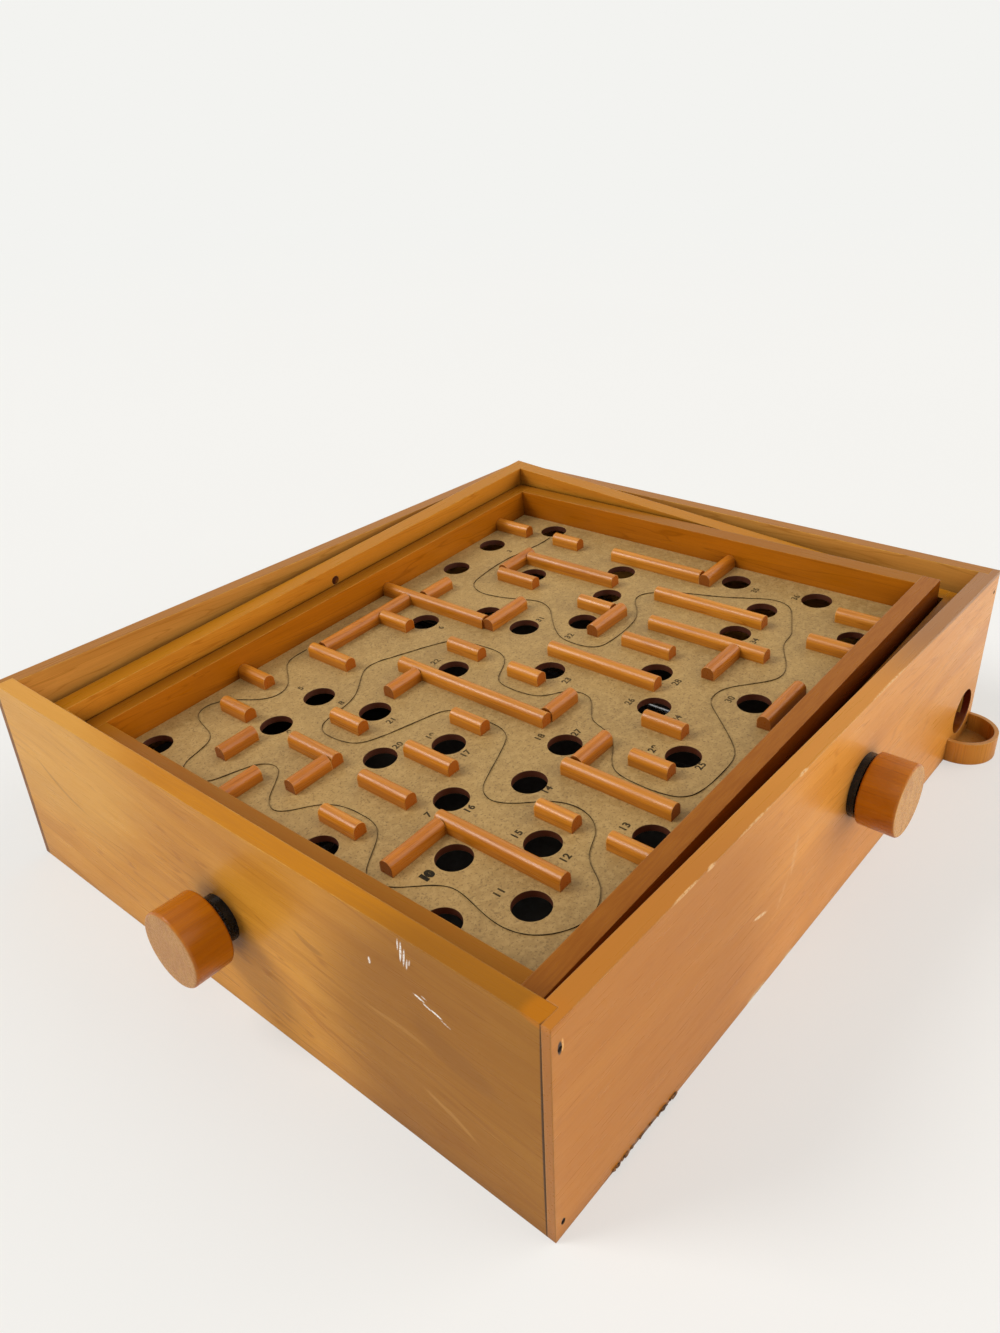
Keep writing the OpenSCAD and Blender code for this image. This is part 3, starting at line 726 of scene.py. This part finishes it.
def cords(tree, black):
    """The two cords that turn the knobs' spin into tilt, each with a spring at one end."""
    wire = bright_steel("spring_steel", "#aeb1b5", 0.28)
    routes = {
        "ring": (FRONT_SHAFT + Vector((0, 0, LAY_R)), RING_EYES, "box", "tilt_ring"),
        "frame": (LEFT_SHAFT - Vector((0, 0, LAY_R)), FRAME_EYES, "tilt_ring", "board_frame"),
    }
    for name, (start, eyes, still, moving) in routes.items():
        for side, eye, slack in zip(("sprung", "plain"), eyes, (SPRING_L, 0.0)):
            way = (eye - start).normalized()
            knot = eye - way * (EYE_R + EYE_WIRE_R + slack)
            cord = piece(f"{name}_cord_{side}_run", twine(tree, black, start + way * LEAD, knot), None)
            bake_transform(cord)
            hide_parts(f"{name}_cord")
        way = (eyes[0] - start).normalized()
        hooked = eyes[0] - way * (EYE_R + EYE_WIRE_R)
        stretched = spring(tree, wire, hooked - way * SPRING_L, hooked)
        coil = piece(f"{name}_cord_coil_spring", stretched, moving)
        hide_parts(f"{name}_cord_spring")


def windings(tree, black):
    """The turns of cord on each knob's shaft, side by side about the middle of the winding."""
    length = (WINDING_TURNS - 1) * 2 * CORD_R
    for name, middle, axis in (("front", FRONT_SHAFT, "y"), ("left", LEFT_SHAFT, "x")):
        turns = wind(tree, black, WINDING_TURNS, LAY_R, length, CORD_R * WINDING_SQUEEZE, steps=28)
        foot = middle - Vector(AXES[axis]) * (length / 2)
        winding = piece(f"{name}_shaft_turns", [(turns, aimed(foot, middle))], f"{name}_knob_shaft")
        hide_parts(f"{name}_cord_winding")


# Print on the board. Points are in millimetres from the middle of the board
GUIDE_LINE = [
    (118, 80.5), (110, 79.5), (95, 83), (80, 85), (65, 83.5), (57, 82.5), (53, 80), (50, 75), (49, 69),
    (49.5, 63), (52, 54), (55, 46), (57, 41), (56.5, 36), (54, 30), (47, 24), (40, 17), (35, 10.5),
    (33.5, 5), (33.3, -4), (35, -9), (38, -12), (45, -12.8), (55, -12.8), (63, -12), (69, -10),
    (75, -6), (80, -1), (85, 1.2), (91, -1), (98, -12), (101, -22), (104, -32), (107, -39), (110, -46),
    (113.5, -52), (115, -59), (113, -65), (109, -68.5), (103, -71.5), (95, -75.5), (90, -78.5),
    (82, -78.5), (77, -80.5), (70, -85.5), (63, -89.5), (57, -90.7), (52, -89), (46, -83.5),
    (40, -77.5), (35, -74.5), (29, -73.8), (24, -75.5), (19, -81.5), (12, -89.5), (5, -97), (0, -101),
    (-6, -102.8), (-20, -102.8), (-30, -101.5), (-34, -97), (-35.5, -91), (-35.8, -85), (-35.5, -75),
    (-34, -69), (-30, -64.5), (-22, -60.5), (-17, -56.5), (-14.5, -52), (-12.5, -45), (-10.5, -41),
    (-5, -37.5), (1, -33), (2.5, -29), (2.5, -25), (-1, -19), (-7, -16), (-10.5, -11), (-11.5, -1),
    (-10.5, 8.5), (-7, 12), (-1, 14.5), (6, 18), (9.5, 24), (10, 31), (9, 39), (8, 47), (5, 52),
    (1, 54.5), (-5, 58), (-14, 62), (-21, 65.5), (-27, 68.5), (-33, 69), (-38, 66.5), (-44, 61.5),
    (-50, 57), (-55, 54.5), (-63, 53), (-71, 53), (-76, 51), (-79, 47), (-79.2, 39), (-78, 32),
    (-75, 27), (-69, 24), (-60, 21), (-50, 18), (-41, 15.5), (-37, 12), (-35, 7), (-35, -10),
    (-36, -16), (-39, -20.5), (-45, -23.5), (-55, -27.5), (-63, -30.5), (-70, -33.5), (-73.2, -39),
    (-72.8, -44), (-70, -49), (-66, -54), (-63, -57), (-60, -62), (-58.2, -68), (-59, -75),
    (-62, -80.5), (-67, -84.5), (-75, -87), (-80, -91), (-84, -98), (-89, -102.5), (-94.5, -105),
    (-100, -106), (-105, -104.8), (-112, -100.5), (-116.5, -95), (-118.8, -88), (-118.8, -81),
    (-117, -73), (-115, -65), (-114.7, -60), (-116.5, -55.5), (-121, -50), (-127, -43), (-130, -36),
    (-127, -30.2), (-122, -27), (-116, -23.5), (-110, -19.5), (-107, -15), (-106, -10), (-106.2, 0.5),
    (-107.5, 6), (-110.5, 11), (-115, 15), (-121, 19), (-123.5, 23), (-123.2, 26.5), (-120.5, 31),
    (-114, 35.5), (-107, 40.5), (-104.5, 45), (-105.5, 49.5), (-110, 54), (-118, 57), (-126, 59.5),
    (-131, 65), (-131, 73), (-126, 79.5), (-119, 81), (-111, 82.5), (-106.5, 86.5), (-104.5, 93),
    (-103, 101), (-99.5, 106.5), (-93, 108), (-85, 103), (-81, 96), (-77, 89.5), (-71, 86), (-65, 87),
    (-60, 91.5), (-55, 99), (-50, 105.5), (-44, 106.5), (-37, 106),
]
LINE_W = 1.0 * MM
LINE_STEP = 1.5 * MM

# Hole numbers: text and its middle on the board
HOLE_NUMBERS = [
    ("11", -107.5, -74.5), ("12", -82, -82.5), ("13", -57.5, -90), ("14", -56.5, -54.5),
    ("15", -82, -61), ("16", -81, -37.5), ("17", -56.5, -13.5), ("18", -32, -31.5), ("19", -55.5, 6.5),
    ("20", -67.5, 13.5), ("21", -56.5, 28.5), ("22", -12, 45), ("7", -92, -27), ("27", -21.5, -42),
    ("29", -14, -73.5), ("25", -13.5, -94), ("26", 8, -47.5), ("24", 8, -70), ("28", 30.5, -56),
    ("30", 31, -81), ("23", 7, -15.5), ("31", 43.5, 28), ("6", 12.5, 64.5), ("32", 38, 6.5),
    ("3", 94, 89.5), ("35", 119, -44.5), ("36", 122, -64), ("34", 77, -67), ("5", -61, 82),
    ("8", -59, 57), ("9", -86, 59.5),
]
BLOT = ("10", -115.5, -49)
NUMBER_HEIGHT = 3.1
NUMBER_WEIGHT = 0.13
BLOT_HEIGHT = 3.3
BLOT_WEIGHT = 0.6
FONT_SIZE_TO_HEIGHT = 1.36
INK_FILM = 0.06 * MM


def printed(x, y):
    """The place of print drawn flat about a point of the board's top, with its back on the board."""
    return BOARD_PLACE @ Matrix.Translation((x * MM, y * MM, BOARD_TOP + INK_FILM / 2))


def guide_line():
    """The printed line that the ball should follow."""
    curve = bpy.data.curves.new("guide", "CURVE")
    curve.dimensions = "3D"
    spline = curve.splines.new("NURBS")
    spline.points.add(len(GUIDE_LINE) - 1)
    for point, (x, y) in zip(spline.points, GUIDE_LINE):
        point.co = (x * MM, y * MM, 0, 1)
    spline.order_u = 4
    spline.use_endpoint_u = True
    spline.resolution_u = 6
    ink = screen_ink("guide_line_ink", "#171207", "#8a6f45", 0.8)
    stroke = {"Width": LINE_W, "Film": INK_FILM, "Step": LINE_STEP, "Material": ink}
    mesh = grown(ribbon_tree(), curve, stroke)
    piece("guide_line", [(mesh, printed(0, 0))], "board_frame")


def numeral(text, height, weight, material):
    """A number as a thin flat mesh about its own middle. Weight thickens its strokes."""
    font = bpy.data.curves.new("numeral", "FONT")
    font.body = text
    font.size = height * MM * FONT_SIZE_TO_HEIGHT
    font.align_x = "CENTER"
    font.align_y = "CENTER"
    font.extrude = INK_FILM / 2
    font.offset = weight * MM
    font.space_character = 1.1
    holder = bpy.data.objects.new("holder", font)
    bpy.context.collection.objects.link(holder)
    mesh = taken(holder)
    mesh.materials.clear()
    mesh.materials.append(material)
    return mesh


def hole_numbers():
    """The small numbers beside the holes, most of them rubbed pale, and one inked blot."""
    ink = screen_ink("number_ink", "#1f1708", "#8a6f45", 0.8)
    blot_ink = screen_ink("blot_ink", "#1e180a", "#6f5c3c", 1.0)
    drawn = []
    for text, x, y in HOLE_NUMBERS:
        drawn.append((numeral(text, NUMBER_HEIGHT, NUMBER_WEIGHT, ink), printed(x, y)))
    text, x, y = BLOT
    drawn.append((numeral(text, BLOT_HEIGHT, BLOT_WEIGHT, blot_ink), printed(x, y)))
    piece("hole_numbers", drawn, "board_frame")


# Splinters along the chipped foot of the front panel, in millimetres: where they lie along it
# and how high, their sizes, how much longer than wide and lower than wide they are, and how far
# they stand proud, reach into the wood and droop
SPLINTERS = 16
SPLINTER_CORNERS = 5
FOOT_FROM, FOOT_TO = -139, -103
SPLINTER_Z = 1.2
SPLINTER_SIZES = (0.5, 1.5)
SPLINTER_LONG = 1.6
SPLINTER_LOW = 0.5
SPLINTER_PROUD = (0.25, 0.7)
SPLINTER_BEDDED = 0.2
SPLINTER_DROOP = 0.1


def splinter(bm, rng):
    """Adds one flat chip, bedded in the panel and standing a little proud of it."""
    x = rng.uniform(FOOT_FROM, FOOT_TO)
    size = rng.uniform(*SPLINTER_SIZES)
    corners = []
    for k in range(SPLINTER_CORNERS):
        angle = math.tau * k / SPLINTER_CORNERS + rng.uniform(-0.3, 0.3)
        reach = size * rng.uniform(0.6, 1.0)
        along = reach * SPLINTER_LONG * math.cos(angle)
        up = reach * SPLINTER_LOW * math.sin(angle)
        corners.append(Vector((x + along, FRONT_Y, SPLINTER_Z + up)) * MM)
    inner = [bm.verts.new(c + Vector((0, SPLINTER_BEDDED, 0)) * MM) for c in corners]
    outer = []
    for corner in corners:
        proud = Vector((0, rng.uniform(*SPLINTER_PROUD), SPLINTER_DROOP)) * MM
        outer.append(bm.verts.new(corner - proud))
    bm.faces.new(outer)
    bm.faces.new(list(reversed(inner)))
    for a in range(SPLINTER_CORNERS):
        b = (a + 1) % SPLINTER_CORNERS
        bm.faces.new((inner[a], inner[b], outer[b], outer[a]))


def foot_splinters():
    """The torn splinters on the front panel's foot."""
    rng = random.Random(7)
    bm = bmesh.new()
    for _ in range(SPLINTERS):
        splinter(bm, rng)
    mesh = bpy.data.meshes.new("splinters")
    bm.to_mesh(mesh)
    bm.free()
    mesh.materials.append(torn_wood("torn_wood"))
    piece("foot_splinters", [(mesh, Matrix())], "box")


# Studio, in metres: the white that surrounds the object, the floor, how far out the floor fades
# into the surround, and the lamps
SURROUND = "#f3f3f0"
FLOOR_R = 12
FADE = (0.4, 2.5)
LAMPS = [
    ("window", (-0.75, 0.8, 0.95), 26, 1.75, "#fffdfa"),
    ("room", (0.9, -1.0, 0.62), 60, 1.5, "#fff4e8"),
    ("ceiling", (-0.7, -0.95, 1.05), 44, 0.45, "#fffcf8"),
]


def studio_paper():
    """Matt pale paper that keeps the object's shadow. The camera sees it fade into the surround
    with its distance from the middle, so that no horizon shows."""
    material, tree, shader, place = new_material("studio_paper")
    tone = noise(tree, place["Object"], 400, 2)
    feed(tree, shader, {
        "Base Color": tinted(tree, "#ebebe9", "#eaeae8", tone, NOISE_SPAN),
        "Roughness": 0.9,
        "Specular IOR Level": 0.2,
    })
    glow = add(tree, "ShaderNodeEmission", {"Color": SURROUND, "Strength": 1.0})
    away = add(tree, "ShaderNodeVectorMath", {0: place["Object"]}, operation="LENGTH")
    fade = add(tree, "ShaderNodeMapRange", {"Value": away} | ranges(FADE, (0.5, 1.0)), **SOFT)
    camera_ray = add(tree, "ShaderNodeLightPath").outputs["Is Camera Ray"]
    seen = add(tree, "ShaderNodeMath", {0: camera_ray, 1: fade}, operation="MULTIPLY")
    paper = add(tree, "ShaderNodeMixShader", {0: seen, 1: shader, 2: glow})
    feed(tree, tree.nodes["Material Output"], {"Surface": paper})
    return material


def studio_floor():
    """A wide round floor under the object."""
    bm = bmesh.new()
    bmesh.ops.create_circle(bm, cap_ends=True, segments=96, radius=FLOOR_R)
    mesh = bpy.data.meshes.new("studio_floor")
    bm.to_mesh(mesh)
    bm.free()
    mesh.materials.append(studio_paper())
    floor = bpy.data.objects.new("studio_floor", mesh)
    bpy.context.collection.objects.link(floor)


def surround():
    """Soft daylight on the object, and a white surround for the camera and for reflections."""
    world = bpy.data.worlds.new("studio_world")
    bpy.context.scene.world = world
    world.use_nodes = True
    tree = world.node_tree
    daylight = tree.nodes["Background"]
    feed(tree, daylight, {"Color": "#f4f5f6", "Strength": 0.5})
    white = add(tree, "ShaderNodeBackground", {"Color": SURROUND, "Strength": 1.0})
    ray = add(tree, "ShaderNodeLightPath").outputs
    seen = add(tree, "ShaderNodeMath", {
        0: ray["Is Camera Ray"], 1: ray["Is Glossy Ray"],
    }, operation="MAXIMUM")
    both = add(tree, "ShaderNodeMixShader", {0: seen, 1: daylight, 2: white})
    feed(tree, tree.nodes["World Output"], {"Surface": both})


def lamps():
    """Soft light from three sides. Each lamp has its name, where it shines from, how many degrees
    it spreads over, its strength and its tint."""
    for name, at, spread, strength, tint in LAMPS:
        light = bpy.data.lights.new(name, "SUN")
        light.angle = math.radians(spread)
        light.energy = strength
        light.color = linear(tint)[:3]
        lamp = bpy.data.objects.new(name, light)
        lamp.location = at
        lamp.rotation_euler = Vector(at).to_track_quat("Z", "Y").to_euler()
        bpy.context.collection.objects.link(lamp)


# The photograph's camera, as fitted to the corners of the box: place, aim, roll and lens
CAMERA_AT = Vector((-299.64, -250.02, 283.42)) * MM
CAMERA_AIM = Vector((79.01, 86.27, 0)) * MM
CAMERA_ROLL = math.radians(2.767)
CAMERA_LENS = 27.80


def photo_camera():
    """The camera at the photograph's place, aimed and rolled as it was held."""
    ahead = (CAMERA_AIM - CAMERA_AT).normalized()
    level = ahead.cross(Vector((0, 0, 1))).normalized()
    down = ahead.cross(level)
    right = level * math.cos(CAMERA_ROLL) + down * math.sin(CAMERA_ROLL)
    up = level * math.sin(CAMERA_ROLL) - down * math.cos(CAMERA_ROLL)
    data = bpy.data.cameras.new("photo_camera")
    data.lens = CAMERA_LENS
    data.sensor_width = 36
    data.clip_start = 0.01
    camera = bpy.data.objects.new("photo_camera", data)
    camera.matrix_world = Matrix((
        (right.x, up.x, -ahead.x, CAMERA_AT.x), (right.y, up.y, -ahead.y, CAMERA_AT.y),
        (right.z, up.z, -ahead.z, CAMERA_AT.z), (0, 0, 0, 1),
    ))
    bpy.context.collection.objects.link(camera)
    bpy.context.scene.camera = camera
    bpy.context.scene.view_settings.view_transform = "Standard"


finish_nodes()
coil = coil_tree()
black_twine = waxed_cord("black_twine")
cords(coil, black_twine)
windings(coil, black_twine)
guide_line()
hole_numbers()
foot_splinters()
studio_floor()
surround()
lamps()
photo_camera()
